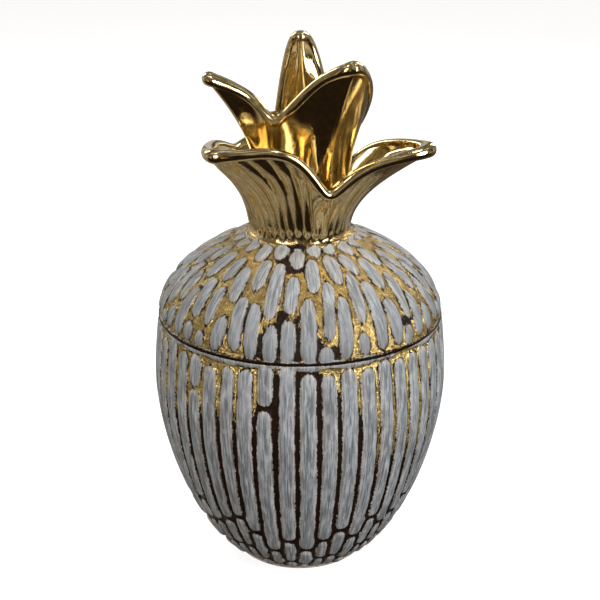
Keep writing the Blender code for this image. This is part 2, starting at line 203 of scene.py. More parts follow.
# Dark places in the gold of the lid's grooves: azimuth, length, size across and size along
LID_GILT = 0.95
DARK_DEPTH = 1.5
DARK_PLACES = (
    (-15.5, 9, 2, 9), (-8, 16, 2.2, 14), (-1.3, 10, 1.8, 12), (6.6, 8, 2.4, 6),
    (-14, 60.5, 7, 3.5), (-5, 54.5, 5.5, 3), (48.5, 12.5, 2.5, 2.5), (-21, 12, 1.2, 14),
    (13, 5, 2, 4), (2, 57, 3, 4), (95, 12, 5, 7), (150, 30, 4, 12),
    (205, 8, 5, 6), (262, 24, 4, 9), (301, 44, 4, 7),
)


def leaf(*placed, **changed):
    """A leaf, from where its tip is: a pair holds the values for the sides before it and after it."""
    names = ("azimuth", "reach", "height", "narrow", "slope", "late")
    usual = {"width": (1, 1), "bend": 0.45, "swelling": 0.7, "blunt": 0.07, "nick": 0.0}
    return {**usual, **dict(zip(names, placed)), **changed}


def valley(azimuth, reach, height):
    return {"azimuth": azimuth, "reach": reach, "height": height}


LOWER_TIER = {
    "base": (24.7, 188.5),
    "centre": (0.3, 0),
    "rise": (0.01, 0.47, 0.225),
    "leaves": (
        leaf(-42, 63.2, 240.2, (0.42, 0.42), (0.50, -0.22), 3, bend=0.44, swelling=1),
        leaf(78, 66.8, 234.8, (0.42, 0.42), (0.42, 0.27), 2.6, bend=0.37, swelling=1.4, blunt=0.11),
        leaf(186, 60, 233, (0.42, 0.30), (0.50, 0.80), 2.5, bend=0.48),
    ),
    "valleys": (valley(22, 38.5, 216.8), valley(138, 38.5, 216.5), valley(240, 40, 226.8)),
}
UPPER_TIER = {
    "base": (21.5, 206),
    "centre": (1.8, 0),
    "rise": (0.02, 0.45, 0.24),
    "leaves": (
        leaf(-86, 48, 269, (0.22, 0.20), (1.22, 1.20), 2, bend=0.49, swelling=1.1),
        leaf(
            33, 43.6, 280.8, (0.24, 0.74), (0.96, 0.96), 7.4,
            width=(0.98, 1), swelling=1.2, blunt=0.13, nick=0.4,
        ),
        leaf(185, 20, 286.2, (0.60, 0.60), (0, 0), 2.2, width=(0.43, 0.62), nick=0.6),
    ),
    "valleys": (valley(-33, 26, 251), valley(106, 28.5, 244), valley(226, 26.5, 244)),
}

# The lid's pads that the front shows: the azimuths of the lower and the upper end, the lengths of both ends
# from the parting line, along the surface, and half the width
FRONT_PADS = (
    (-64.5, -64.5, 2, 15, 4.1), (-56.5, -57, 1, 31.5, 4.1), (-49.8, -49.8, 1.5, 13, 3.5),
    (-42.6, -42.6, 0, 10.5, 3.2), (-34.6, -33.2, 1, 22, 4.2), (-25.7, -27.3, 2.5, 34, 4.1),
    (-19, -20.7, 0, 31.5, 4.1), (-11.4, -11.4, -2, 20.5, 4.2), (-4.9, -4.9, -2, 24.5, 4.2),
    (3.3, 3.7, -2, 35.5, 4.3), (10, 10, -2, 9, 4.1), (17.5, 20.1, 0, 35.5, 4),
    (25.4, 25.4, 1, 14, 3.4), (33.2, 36.8, 1.5, 42, 3.9), (41.4, 42.9, 2, 29.5, 4.3),
    (46.8, 48.2, 0, 12.5, 3.4), (54.3, 57.1, 2, 28.5, 4), (61.8, 62.9, 1.5, 18.5, 3.7),
    (-63.2, -65.7, 18, 40.5, 4.2), (-48.2, -51.3, 13.5, 40.5, 3.9), (-40.6, -41.8, 12.5, 36.5, 3.5),
    (-32.9, -36, 28.5, 52.5, 3.9), (-23.6, -24.6, 37, 60, 3.8), (-13.2, -14, 21.5, 59, 3.8),
    (-4.6, -3.6, 24.7, 50, 3.7), (7.1, 8.9, 37.5, 62.5, 3.7), (11.4, 15.7, 11.5, 45.5, 3.5),
    (22.9, 22.9, 41, 64, 4.1), (26.4, 30.4, 18, 49.5, 3.6), (36.4, 35.7, 45.5, 63, 3.9),
    (45.4, 47.9, 33, 56.5, 3.9), (50.4, 55, 13, 42.5, 3.7), (58.6, 58.6, 45.5, 63, 3.8),
    (-45, -45, 38.5, 58, 3.7), (-58, -58, 36, 59, 4.3), (-71.5, -71.5, 43.5, 60.5, 3.9),
    (66, 66, 24, 51, 4),
)
# The short pads below the collar, in front: the azimuth, where each starts along the dome, and half the width
FRONT_TOP_PADS = (
    (-66, 60, 3.4), (-50.4, 60, 3.6), (-33.5, 55.5, 3.8), (-17.5, 59.5, 4), (-1.8, 53, 4.2),
    (13.5, 61, 4), (29, 62, 3.8), (46.5, 58, 3.9), (62, 60, 3.5),
)
TOP_PAD_LENGTH = 16.0
# The lid's pads round the back, in columns of two lengths by turns: each pair is a range
BACK_COLUMNS = 30
BACK_SPAN = (70, 288.5)
BACK_JITTER = 0.6
BACK_STARTS = (-1.5, 1, 2.5)
BACK_ENDS = (((22, 36), (55, 61)), ((8, 16), (38, 47)))
BACK_LEAN = 1.2
BACK_HALVES = (3.5, 4)
BACK_GAPS = (1.2, 3)
BACK_DRIFT = 1.0
BACK_TOP_COLUMNS = 14
BACK_TOP_SPAN = (77, 279)
BACK_TOP_JITTER = 1.5
BACK_TOP_STARTS = (57, 63)
BACK_TOP_HALVES = (3.4, 3.9)

# The jar's strips in front: the azimuths of the upper and the lower end, where each starts and ends, where
# the pebble below it ends, and half the width
FRONT_STRIPS = (
    (-50.9, -52.5, 4, 96, 112, 4.2), (-43.4, -45, 2.5, 109, 128, 4.4),
    (-36, -37, 6, 103.5, 126, 4.6), (-27.9, -29.3, 4, 98.5, 126, 4),
    (-20.4, -22.5, 4, 109, 139, 4.5), (-12.9, -13.9, 0, 125, 143.5, 4.25),
    (-4.6, -5.4, 0, 114, 138, 4.3), (2.9, 3.6, 4.5, 123, 143, 4.5),
    (10.7, 12.1, 5, 114, 134, 4.25), (18.2, 20, 3, 106.5, 133, 4.6),
    (26, 28.9, 4.5, 115, 140, 4.7), (33.6, 36.4, 2, 102, 128, 4.7),
    (40.7, 44.3, 4, 110.5, 128, 4.7), (48.2, 51.4, 3, 106, 126, 4.7),
    (55, 59.3, 3, 98, 120, 4.8),
)
# The strips that are cut across: the place in the row above, where the cut starts and where it ends
BROKEN_STRIPS = ((1, 21, 22), (5, 23.6, 24.2))
STRIPS = 46
STRIP_SPAN = 110.0
# The strips round the back, and the pebbles in two rows below all strips: each pair is a range
BACK_STRIP_JITTER = 0.3
BACK_STRIP_LEAN = 3.0
BACK_STRIP_STARTS = (-1, 5.5)
BACK_STRIP_ENDS = (96, 124)
BACK_STRIP_HALVES = (4.2, 4.7)
BACK_PEBBLES = (18, 27)
LAST_PEBBLE_END = 143.0
PEBBLE_GAP = 1.6
PEBBLE_NARROWING = (0.5, 0.9)
LAST_ROW_ROOM = 8.0
LAST_ROW_LENGTH = 16.0
LAST_ROW_MARGIN = 2.5
LAST_ROW_HALVES = (2.9, 3.4)
# How far down the gold reaches round the jar: (azimuth, length below the parting line)
GOLD_REACH = (
    (-180, 40), (-60, 42), (-45, 37), (-28, 33), (-18, 32), (-15, 14), (-11, 2), (3, 2), (8, 6), (14, 16),
    (20, 24), (27, 34), (31, 62), (38, 56), (45, 66), (60, 60), (120, 45), (180, 40),
)

# What differs between the pieces, most of it painted light and shade: the length up to which the paint is
# darkened as painted shade, the lengths between which it grows paler as painted light, and the deep and the
# bright gold of the grooves, darker on the lid as painted shade and brighter on the jar as painted light. On
# the jar the painted shade is off and the painted light barely reaches its foot.
JAR_FINISH_AND_LIGHT = {"low_shade": -10.0, "top_light": (150.0, 160.0), "gold": ((0.50, 0.345, 0.105), (0.82, 0.615, 0.23))}
LID_FINISH_AND_LIGHT = {"low_shade": 38.0, "top_light": (42.0, 68.0), "gold": ((0.315, 0.205, 0.060), (0.53, 0.38, 0.135))}
# The finish's noises: the stretch along the piece, the scale per millimetre, the detail and the roughness
NOISES = {
    "ragged": (0.55, 1.1, 3.0, 0.6),
    "streaks": (0.055, 1.25, 4.0, 0.62),
    "blotches": (1.0, 0.10, 3.0, 0.6),
    "patches": (0.26, 0.50, 3.0, 0.55),
    "fine": (1.0, 2.2, 2.0, 0.6),
    "lit": (1.0, 0.55, 4.0, 0.6),
    "tone": (1.0, 0.30, 3.0, 0.55),
    "gloss": (1.0, 0.5, 3.0, 0.6),
    "lumps": (1.0, 1.0, 3.0, 0.6),
}
# Colours, as linear red, green and blue; a pair holds the two ends of a range
WORN_PAINT = ((0.070, 0.092, 0.115), (0.37, 0.405, 0.435))
THICK_PAINT = ((0.19, 0.175, 0.155), (0.64, 0.625, 0.605))
BLOTCH = (0.19, 0.20, 0.205)
DARK_PATCH = (0.095, 0.105, 0.110)
LIGHT_PATCH = (0.62, 0.615, 0.605)
# Painted shade: darkens the paint low on the lid's dome, towards the parting line
LOW_SHADE_PAINT = (0.17, 0.18, 0.19)
# Painted light: lightens the paint towards the top of the lid's dome
TOP_LIGHT_PAINT = (0.64, 0.63, 0.60)
SPECK = (0.085, 0.060, 0.038)
TARNISH = (0.20, 0.135, 0.048)
LEAF_GOLD = ((0.58, 0.45, 0.23), (0.74, 0.59, 0.32))
BROWN_GLAZE = ((0.010, 0.005, 0.003), (0.028, 0.014, 0.008))
CLAY = ((0.50, 0.42, 0.33), (0.62, 0.55, 0.45))
CLAY_SPECK = (0.28, 0.21, 0.15)
WHITE = (1.0, 1.0, 1.0)
FLOOR_GREY = (0.60, 0.60, 0.60)
# How far the painted shade low on the dome fades out, in millimetres along the piece
LOW_SHADE_RUN = 30.0
PAINT_BUMP = 0.00045
GOLD_BUMP = 0.0006
CLAY_BUMP = 0.0001

# The room that the gold mirrors
FRONT_SHADE = (0.018, 0.013, 0.010)
TAN = ((0.34, 0.235, 0.13), (0.52, 0.49, 0.42))
FRONT_LAMP = (1.50, 1.42, 1.28)
BACK_TONES = ((0.06, 0.05, 0.04), (0.60, 0.59, 0.56))
CEILING = ((0.17, 0.16, 0.145), (1.40, 1.38, 1.32))
BELOW = ((0.022, 0.015, 0.011), (0.40, 0.35, 0.28))

# The lamps: place, width and height in metres, power in watts and tint
LAMPS = {
    "overhead": ((-0.05, -0.25, 1.30), (0.60, 0.60), 4.5, WHITE),
    "spark_left": ((-0.35, -0.30, 1.10), (0.10, 0.10), 0.5, WHITE),
    "spark_right": ((0.45, -0.15, 1.05), (0.10, 0.10), 0.8, WHITE),
    "front_left": ((-0.62, -1.20, 0.60), (0.25, 0.50), 11.0, (1.0, 0.985, 0.97)),
    "front_right": ((1.15, -0.70, 0.45), (0.30, 0.80), 15.0, (0.93, 0.96, 1.0)),
    "back_right": ((0.70, 0.80, 0.80), (0.25, 0.60), 4.0, (1.0, 0.98, 0.95)),
    "back_left": ((-0.80, 0.70, 0.75), (0.25, 0.60), 3.0, (0.92, 0.96, 1.0)),
}
HIDDEN_LAMP = "overhead"
LAMP_TARGET = Vector((0.0, 0.0, 0.16))

# The photo's view, worked out from the outline: metres, degrees and millimetres
CAMERA_TARGET = Vector((0.0, 0.0, 0.1469))
CAMERA_DISTANCE = 0.700
CAMERA_ELEVATION = 21.55
CAMERA_LENS = 77.04
CAMERA_SENSOR = 36.0
FLOOR_SIZE = 4.0
FLOOR_GLOW = 0.75


def cubic(points, t):
    """(radius, height) at t on a cubic curve given by its four control points."""
    weights = ((1 - t) ** 3, 3 * (1 - t) ** 2 * t, 3 * (1 - t) * t**2, t**3)
    return [sum(weight * point[axis] for weight, point in zip(weights, points)) for axis in range(2)]


def walked(outline):
    """The length along an outline of (radius, height) points, at each point."""
    steps = np.hypot(*np.diff(outline, axis=0).T)
    return np.concatenate([[0.0], np.cumsum(steps)])


def profile_at(outline, lengths):
    """Points and the outline's directions, (n, 2) each, at some lengths along an outline."""
    along = walked(outline)
    step = 0.5
    points, ahead, behind = (
        np.stack([np.interp(lengths + shift, along, outline[:, axis]) for axis in range(2)], 1)
        for shift in (0.0, step, -step)
    )
    run = ahead - behind
    run /= np.hypot(*run.T)[:, None]
    return points, run


def value_noise(points, size, seed):
    """Smooth noise from -1 to 1 at points (n, 3), with lumps of about the given size."""
    scaled = points / size
    cell = np.floor(scaled).astype(np.int64)
    part = scaled - cell
    part = part * part * (3 - 2 * part)
    total = np.zeros(len(points))
    for corner in itertools.product((0, 1), repeat=3):
        key = (cell + corner) @ CELL_STEPS + seed * SEED_STEP
        key = (key ^ (key >> 13)) * SCATTER
        key = (key ^ (key >> 16)) & 0xFFFF
        weight = np.prod(np.where(corner, part, 1 - part), axis=1)
        total += weight * (2 * key / 0xFFFF - 1)
    return total


def layered(points, layers, seed):
    """Value noise in layers (height, size), each from a seed of its own."""
    return sum(height * value_noise(points, size, seed + step) for step, (height, size) in enumerate(layers))


def grain_points(azimuths, lengths):
    """Places on a drum of the jar's width, so that noise has no seam at the back: (n, 3), in millimetres."""
    angles = np.radians(azimuths)
    lengths = np.broadcast_to(lengths, len(azimuths))
    return np.stack([DRUM_RADIUS * np.sin(angles), -DRUM_RADIUS * np.cos(angles), lengths], 1)


def wrapped(degrees):
    return (degrees + 180.0) % 360.0 - 180.0


def pad_depths(pads, azimuths, length, radius, gap, stretch):
    """How far inside a pad each place of a ring lies, in millimetres, negative outside. Neighbours that would
    touch are kept a gap apart."""
    nearest = np.full(len(azimuths), FAR)
    second = np.full(len(azimuths), FAR)
    for first_azimuth, last_azimuth, start, end, half_width in pads:
        middle, half = (start + end) / 2, (end - start) / 2
        past = (length - middle) / half
        azimuth = (first_azimuth + last_azimuth) / 2 + (last_azimuth - first_azimuth) / 2 * past
        across = np.abs(wrapped(azimuths - azimuth)) * np.pi / 180 * radius
        core = max(half - half_width * stretch, 0.0)
        beyond = max(abs(length - middle) - core, 0.0) / min(stretch, half / half_width)
        distance = np.hypot(across, beyond) - half_width * (1 - PAD_TAPER * min(past**2, 1))
        closer = distance < nearest
        second = np.where(closer, nearest, np.minimum(second, distance))
        nearest = np.where(closer, distance, nearest)
    return -np.maximum(nearest, gap / 2 - (second - nearest) / 2)


def relief(depth):
    """How far the surface lies below the tops of the pads, for a depth inside them."""
    share = np.clip((depth + RELIEF_START) / PAD_ROUNDING, 0.0, 1.0)
    return -RELIEF * (1 - np.sin(share * np.pi / 2) ** PAD_FULLNESS)


def ring(azimuths, radius, height, ridge=NO_PAINT, gilt=0.0, length=0.0, polish=0.0):
    """One ring of points round the axis with its surface values."""
    angles = np.radians(azimuths)
    made = np.empty((len(azimuths), WIDTH))
    made[:, 0] = radius * np.sin(angles)
    made[:, 1] = -radius * np.cos(angles)
    made[:, 2] = height
    made[:, RIDGE] = ridge
    made[:, GILT] = gilt
    made[:, GRAIN] = grain_points(azimuths, length)
    made[:, POLISH] = polish
    return made


def band_faces(low, here, high, there):
    """The faces between two rings that start at low and high. One may have twice as many points."""
    count = min(here, there)
    for column in range(count):
        after = (column + 1) % count
        if here == there:
            yield low + column, low + after, high + after, high + column
        elif here > there:
            yield low + 2 * column, low + 2 * column + 1, low + 2 * after, high + after, high + column
        else:
            yield low + column, low + after, high + 2 * after, high + 2 * column + 1, high + 2 * column


def skin(name, rings, bands, looks):
    """A closed mesh over rings of points. bands gives a material index for the first fan, each band between
    two rings and for the last fan."""
    first = np.array([0.0, 0.0, rings[0][0, 2], *rings[0][0, 3:]])
    last = np.array([0.0, 0.0, rings[-1][0, 2], *rings[-1][0, 3:]])
    rows = np.concatenate([[first], *rings, [last]])
    counts = [len(each) for each in rings]
    starts = [1 + sum(counts[:index]) for index in range(len(counts))]
    faces = [(0, 1 + (column + 1) % counts[0], 1 + column) for column in range(counts[0])]
    indices = [bands[0]] * len(faces)
    for band in range(len(rings) - 1):
        faces += band_faces(starts[band], counts[band], starts[band + 1], counts[band + 1])
        indices += [bands[band + 1]] * (len(faces) - len(indices))
    low, count, end = starts[-1], counts[-1], len(rows) - 1
    faces += [(low + column, low + (column + 1) % count, end) for column in range(count)]
    indices += [bands[-1]] * count
    mesh = bpy.data.meshes.new(name)
    mesh.from_pydata(rows[:, :3] * MM, [], faces)
    mesh.polygons.foreach_set("material_index", indices)
    for label, column in (("ridge", RIDGE), ("gilt", GILT), ("polish", POLISH)):
        attribute = mesh.attributes.new(label, "FLOAT", "POINT")
        attribute.data.foreach_set("value", rows[:, column].astype(np.float32))
    grain = mesh.attributes.new("grain", "FLOAT_VECTOR", "POINT")
    grain.data.foreach_set("vector", rows[:, GRAIN].astype(np.float32).ravel())
    mesh.shade_smooth()
    mesh.set_sharp_from_angle(angle=math.radians(SHARP_ANGLE))
    for look in looks:
        mesh.materials.append(look)
    obj = bpy.data.objects.new(name, mesh)
    bpy.context.scene.collection.objects.link(obj)
    return obj


def jar_outline():
    """The jar's outer profile, over the tops of its strips, from the rim down to the foot."""
    t = np.linspace(0.0, 1.0, CURVE_STEPS)
    shoulder = np.stack(cubic(SHOULDER, 1 - t), 1)
    belly = np.stack(cubic(BELLY, t), 1)
    return np.concatenate([shoulder, belly[1:]])


def jar_strips(random):
    """Every strip of the jar, those in front and others in the same manner round the back."""
    strips = list(FRONT_STRIPS)
    first, last = FRONT_STRIPS[-1][0], FRONT_STRIPS[0][0] + 360.0
    gaps = STRIPS - len(FRONT_STRIPS) + 1
    for index in range(1, gaps):
        jitter = random.uniform(-BACK_STRIP_JITTER, BACK_STRIP_JITTER)
        azimuth = first + (last - first) * index / gaps + jitter
        foot = random.uniform(*BACK_STRIP_ENDS)
        pebble_end = min(foot + random.uniform(*BACK_PEBBLES), LAST_PEBBLE_END)
        lean = BACK_STRIP_LEAN * math.sin(math.radians(azimuth))
        start = random.uniform(*BACK_STRIP_STARTS)
        half_width = random.uniform(*BACK_STRIP_HALVES)
        strips.append((azimuth, azimuth + lean, start, foot, pebble_end, half_width))
    return strips


def jar_pads(strips, random):
    """The jar's strips and the pebbles below them, as pads."""
    pads = []
    total = walked(jar_outline())[-1]
    for index, (top, foot, start, end, pebble_end, half_width) in enumerate(strips):

        def add(first, last, half):
            turn = (foot - top) / STRIP_SPAN
            pads.append((top + turn * first, top + turn * last, first, last, half))

        cuts = [cut[1:] for cut in BROKEN_STRIPS if cut[0] == index]
        for cut_start, cut_end in cuts:
            add(start, cut_start, half_width)
            start = cut_end
        add(start, end, half_width)
        add(end + PEBBLE_GAP, pebble_end, half_width - random.uniform(*PEBBLE_NARROWING))
        if pebble_end < total - LAST_ROW_ROOM:
            last_end = min(pebble_end + LAST_ROW_LENGTH, total - LAST_ROW_MARGIN)
            add(pebble_end + PEBBLE_GAP, last_end, random.uniform(*LAST_ROW_HALVES))
    return pads


def strip_columns(strips, length):
    """Azimuths round the jar at a length below the parting line, closer together at the grooves than over the
    strips."""
    middles = np.array([top + (foot - top) * length / STRIP_SPAN for top, foot, *_ in strips])
    following = np.append(middles[1:], middles[0] + 360.0)
    grooves = (middles + following) / 2
    gaps = np.append(grooves[1:], grooves[0] + 360.0) - grooves
    return (grooves[:, None] + gaps[:, None] * COLUMN_SHARES).ravel()


def carved_depth(pads, azimuths, length, radius, gap, stretch, lip, grain, seeds):
    """How far inside a pad, or the uneven painted lip beside the parting line, each place of a ring lies."""
    depth = pad_depths(pads, azimuths, length, radius, gap, stretch)
    width = lip * (1.0 + layered(grain_points(azimuths, 0.0), LIP_WIDTH_WANDER, seeds[0]))
    lip_depth = width - length + layered(grain_points(azimuths, length), LIP_EDGE_WANDER, seeds[1])
    return np.maximum(depth, lip_depth) + layered(grain, EDGE_WANDER, seeds[2])


def jar_inside():
    """The bowl's inner profile, (radius, height), from the middle of the floor up to the rim's inner edge."""
    outline = jar_outline()
    inside = [(10.0, FLOOR + RECESS_DEPTH), (FOOT_RADIUS - 8.0, FLOOR + 2.2), (FOOT_RADIUS, 2 * FLOOR)]
    for height in INSIDE_HEIGHTS:
        radius = float(np.interp(-height, -outline[:, 1], outline[:, 0]))
        inside.append((radius - WALL, height))
    inside.append((RIM_RADIUS - WALL + 0.6, RIM_HEIGHT))
    return inside


def jar_gilt(azimuths, length, grain):
    """Gold in the jar's grooves below the parting line, down to where it reaches."""
    gold_azimuths, gold_lengths = zip(*GOLD_REACH)
    wander = layered(grain * (1, 1, GOLD_WANDER_STRETCH), GOLD_WANDER, SEEDS["jar_gold"])
    reach = np.interp(wrapped(azimuths), gold_azimuths, gold_lengths)
    return np.clip((reach + wander - length) / GOLD_FADE + 0.5, 0.0, 1.0)


def jar_side_rings(strips, pads):
    """The rings down the jar's carved side."""
    outline = jar_outline()
    total = walked(outline)[-1]
    top = np.arange(EDGE_ROUNDING, TOP_REACH, TOP_STEP)
    middle = np.arange(TOP_REACH, MIDDLE_REACH, MIDDLE_STEP)
    bottom = np.linspace(MIDDLE_REACH, total - FOOT_MARGIN, BOTTOM_RINGS)
    lengths = np.concatenate([top, middle, bottom])
    rings = []
    for length, (radius, height), (run_out, run_up) in zip(lengths, *profile_at(outline, lengths)):
        azimuths = strip_columns(strips, length)
        grain = grain_points(azimuths, length)
        place = pads, azimuths, length, radius
        depth = carved_depth(*place, GROOVE_WIDTH, STRIP_END_STRETCH, JAR_LIP, grain, JAR_SEEDS)
        low = relief(depth)
        gilt = jar_gilt(azimuths, length, grain)
        rings.append(ring(azimuths, radius - run_up * low, height + run_out * low, depth, gilt, length))
    return rings


def make_jar(looks):
    random = np.random.default_rng(SEEDS["jar"])
    strips = jar_strips(random)
    pads = jar_pads(strips, random)
    azimuths = strip_columns(strips, 0.0)
    rings = [ring(azimuths, radius, height) for radius, height in jar_inside()]
    # The rim's rounded edge is left bare dark glaze: painted shade along the seam
    edge = RIM_RADIUS - EDGE_ROUNDING - EDGE_INSET
    rings.append(ring(azimuths, edge, RIM_HEIGHT, ridge=SEAM_SHADE_RIDGE))
    rings.append(ring(azimuths, RIM_RADIUS - EDGE_CORNER, RIM_HEIGHT - EDGE_CORNER, ridge=SEAM_SHADE_RIDGE))
    rings += jar_side_rings(strips, pads)
    bare = len(rings)
    azimuths = strip_columns(strips, walked(jar_outline())[-1])
    foot = [(FOOT_RADIUS - FOOT_MARGIN, 0.0), (RECESS_RADIUS + 0.6, 0.0), (RECESS_RADIUS, 0.4)]
    foot += [(RECESS_RADIUS, RECESS_DEPTH), (10.0, RECESS_DEPTH)]
    rings += [ring(azimuths, radius, height) for radius, height in foot]
    bands = [0] * bare + [1] * (len(rings) + 1 - bare)
    return skin("painted_jar", rings[::-1], bands[::-1], looks)


def spread(span, index, count):
    """The place of one of several evenly spaced things over a span."""
    first, last = span
    return first + (last - first) * index / (count - 1)


def dome_pads(random):
    """The lid's pads: those that the front shows, and others in the same manner round the back."""
    pads = list(FRONT_PADS)
    for column in range(BACK_COLUMNS):
        azimuth = spread(BACK_SPAN, column, BACK_COLUMNS) + random.uniform(-BACK_JITTER, BACK_JITTER)
        start = random.choice(BACK_STARTS)
        ends = [random.uniform(*each) for each in BACK_ENDS[column % 2]]
        for end in ends:
            lean = random.uniform(-BACK_LEAN, BACK_LEAN)
            pads.append((azimuth - lean, azimuth + lean, start, end, random.uniform(*BACK_HALVES)))
            start = end + random.uniform(*BACK_GAPS)
            azimuth += random.uniform(-BACK_DRIFT, BACK_DRIFT)
    top_pads = list(FRONT_TOP_PADS)
    for index in range(BACK_TOP_COLUMNS):
        jitter = random.uniform(-BACK_TOP_JITTER, BACK_TOP_JITTER)
        azimuth = spread(BACK_TOP_SPAN, index, BACK_TOP_COLUMNS) + jitter
        start = random.uniform(*BACK_TOP_STARTS)
        top_pads.append((azimuth, start, random.uniform(*BACK_TOP_HALVES)))
    for azimuth, start, half_width in top_pads:
        pads.append((azimuth, azimuth, start, start + TOP_PAD_LENGTH, half_width))
    return pads


def dome_outline():
    """The dome's profile, over the tops of its pads, from the parting line up to the collar."""
    return np.stack(cubic(DOME, np.linspace(0.0, 1.0, DOME_STEPS)), 1)


def soften(share, width):
    """Rounds a corner at share 0 over the given width, and keeps 0 and 1 where they are."""
    return (np.hypot(share, width) - width) / (math.hypot(1.0, width) - width)


def rim_points(tier, index, side, share):
    """Azimuths, radii and heights on a tier's rim, at shares of the way from a tip to a valley beside it."""
    tip = tier["leaves"][index]
    low = tier["valleys"][index if side > 0 else index - 1]
    span = ((low["azimuth"] - tip["azimuth"]) * side) % 360.0
    azimuth = tip["azimuth"] + side * span * share
    beside = 1 if side > 0 else 0
    rounded = 1.0 - soften(np.maximum(1.0 - share / tip["width"][beside], 0.0), VALLEY_ROUNDING)
    rounded = soften(rounded, tip["blunt"])
    reach = np.exp(-rounded / tip["narrow"][beside]) * (1.0 - rounded**2)
    slope = tip["slope"][beside]
    rise = 1.0 - slope * rounded**SLOPE_BEND - (1.0 - slope) * rounded ** tip["late"]
    radius = low["reach"] + (tip["reach"] - low["reach"]) * reach
    height = low["height"] + (tip["height"] - low["height"]) * rise
    return azimuth, radius, height - tip["nick"] * np.exp(-((share / NICK_SHARE) ** 2))


def tier_shares(tier, azimuths):
    """For azimuths at the base: the leaf of each, its side, and the share of the way to the valley."""
    index, side = np.zeros((2, len(azimuths)), int)
    share = np.zeros(len(azimuths))
    for number, tip in enumerate(tier["leaves"]):
        past = (azimuths - tip["azimuth"]) % 360.0
        short = (tip["azimuth"] - azimuths) % 360.0
        span_past = (tier["valleys"][number]["azimuth"] - tip["azimuth"]) % 360.0
        span_short = (tip["azimuth"] - tier["valleys"][number - 1]["azimuth"]) % 360.0
        for sign, away, span in ((-1, short, span_short), (1, past, span_past)):
            inside = away <= span
            index[inside] = number
            side[inside] = sign
            share[inside] = away[inside] / span
    return index, side, share


def leaf_sides(tier, azimuths):
    """Each side of each leaf, as (leaf, side, which of the azimuths belong to it)."""
    index, side, _ = tier_shares(tier, azimuths)
    for number, sign in itertools.product(range(len(tier["leaves"])), (-1, 1)):
        yield number, sign, (index == number) & (side == sign)


def wall_points(tier, azimuths, climb):
    """Points of the middle of a tier's wall, (n, 3). climb is 0 at its base and 1 at the rim."""
    index, _, share = tier_shares(tier, azimuths)
    rim_azimuth, rim_radius, rim_height = np.zeros((3, len(azimuths)))
    for number, sign, inside in leaf_sides(tier, azimuths):
        rim = rim_points(tier, number, sign, share[inside] ** TIP_CROWDING)
        rim_azimuth[inside], rim_radius[inside], rim_height[inside] = rim
    base_radius, base_height = tier["base"]
    out, up = rim_radius - base_radius, rim_height - base_height
    start_out, start_up, end_up = tier["rise"]
    bends = np.array([tip["bend"] for tip in tier["leaves"]])
    end_out = VALLEY_BEND + (bends[index] - VALLEY_BEND) * (1.0 - share) ** 2
    curve = (
        tier["base"],
        (base_radius + start_out * out, base_height + start_up * up),
        (rim_radius - end_out * out, rim_height - end_up * up),
        (rim_radius, rim_height),
    )
    radius, height = cubic(curve, climb)
    angle = np.radians(azimuths + wrapped(rim_azimuth - azimuths) * climb)
    centre_x, centre_y = tier["centre"]
    return np.stack([centre_x + radius * np.sin(angle), centre_y - radius * np.cos(angle), height], 1)


def unit(vectors):
    return vectors / np.linalg.norm(vectors, axis=1)[:, None]


def frames(tier, azimuths, climb):
    """The wall's middle points, its outward normals and the directions across its rim."""
    point = wall_points(tier, azimuths, climb)
    along = wall_points(tier, azimuths + FRAME_TURN, climb) - wall_points(tier, azimuths - FRAME_TURN, climb)
    up = point - wall_points(tier, azimuths, climb - FRAME_CLIMB)
    outward = unit(np.cross(along, up))
    across = unit(np.cross(outward, along))
    across *= np.sign(np.sum(across * up, axis=1))[:, None]
    return point, outward, across


def dark_spots(azimuths, along, spots, depth):
    """How much gold is missing because of spots (azimuth, place along, size across, size along)."""
    missing = 0.0
    for azimuth, middle, wide, tall in spots:
        away = (wrapped(azimuths - azimuth) / wide) ** 2 + ((along - middle) / tall) ** 2
        missing = missing + depth * np.exp(-away)
    return missing


def collar_gilt(azimuths, heights):
    """Gold on the collar and the foot of the leaves, but for a few dark pits."""
    return np.clip(1.0 - dark_spots(azimuths, heights, COLLAR_PITS, PIT_DEPTH), 0.0, 1.0)


def lid_gilt(azimuths, length, grain):
    """Gold nearly everywhere in the lid's grooves, with a few dark places."""
    gilt = LID_GILT + layered(grain, LID_GOLD_WANDER, SEEDS["lid_gold"])
    return np.clip(gilt - dark_spots(azimuths, length, DARK_PLACES, DARK_DEPTH), 0.0, 1.0)


def free_ring(points):
    """A ring of points of the crown with its surface values."""
    made = np.empty((len(points), WIDTH))
    made[:, :3] = points
    made[:, RIDGE] = NO_PAINT
    made[:, GILT] = collar_gilt(np.degrees(np.arctan2(points[:, 0], -points[:, 1])), points[:, 2])
    made[:, GRAIN] = points
    made[:, POLISH] = 1.0
    return made


def climb_to(tier, azimuths, height):
    """The climb at which a tier's wall reaches a height, found by halving."""
    low = np.zeros(len(azimuths))
    high = np.ones(len(azimuths))
    for _ in range(HALVINGS):
        middle = (low + high) / 2
        below = wall_points(tier, azimuths, middle)[:, 2] < height
        low = np.where(below, middle, low)
        high = np.where(below, high, middle)
    return low


def climb_below_lip(tier, azimuths):
    """The climb at which a tier's wall meets its rolled lip."""
    chord = wall_points(tier, azimuths, 1.0) - wall_points(tier, azimuths, 0.0)
    return 1.0 - LIP_START / np.linalg.norm(chord, axis=1)


def outer_flutes(azimuths, share):
    """How far the lower tier's soft flutes stand out, at a share of the way from the collar to the lip."""
    turn = (azimuths - FIRST_CROWN_FLUTE) * CROWN_FLUTES
    uneven = layered(grain_points(azimuths, FLUTE_HEIGHT * share), FLUTE_WANDER, SEEDS["flutes"])
    ridge = np.abs(np.cos(np.radians(turn + uneven) / 2))
    place, reach, left = SMOOTH_PLACE
    smoother = np.clip(np.abs(wrapped(azimuths - place)) / reach, left, 1.0) ** 2
    fade = min(share / FLUTE_FADES[0], 1.0) * min((1.0 - share) / FLUTE_FADES[1], 1.0)
    return CROWN_FLUTE_DEPTH * ridge**FLUTE_ROUNDNESS * fade * smoother


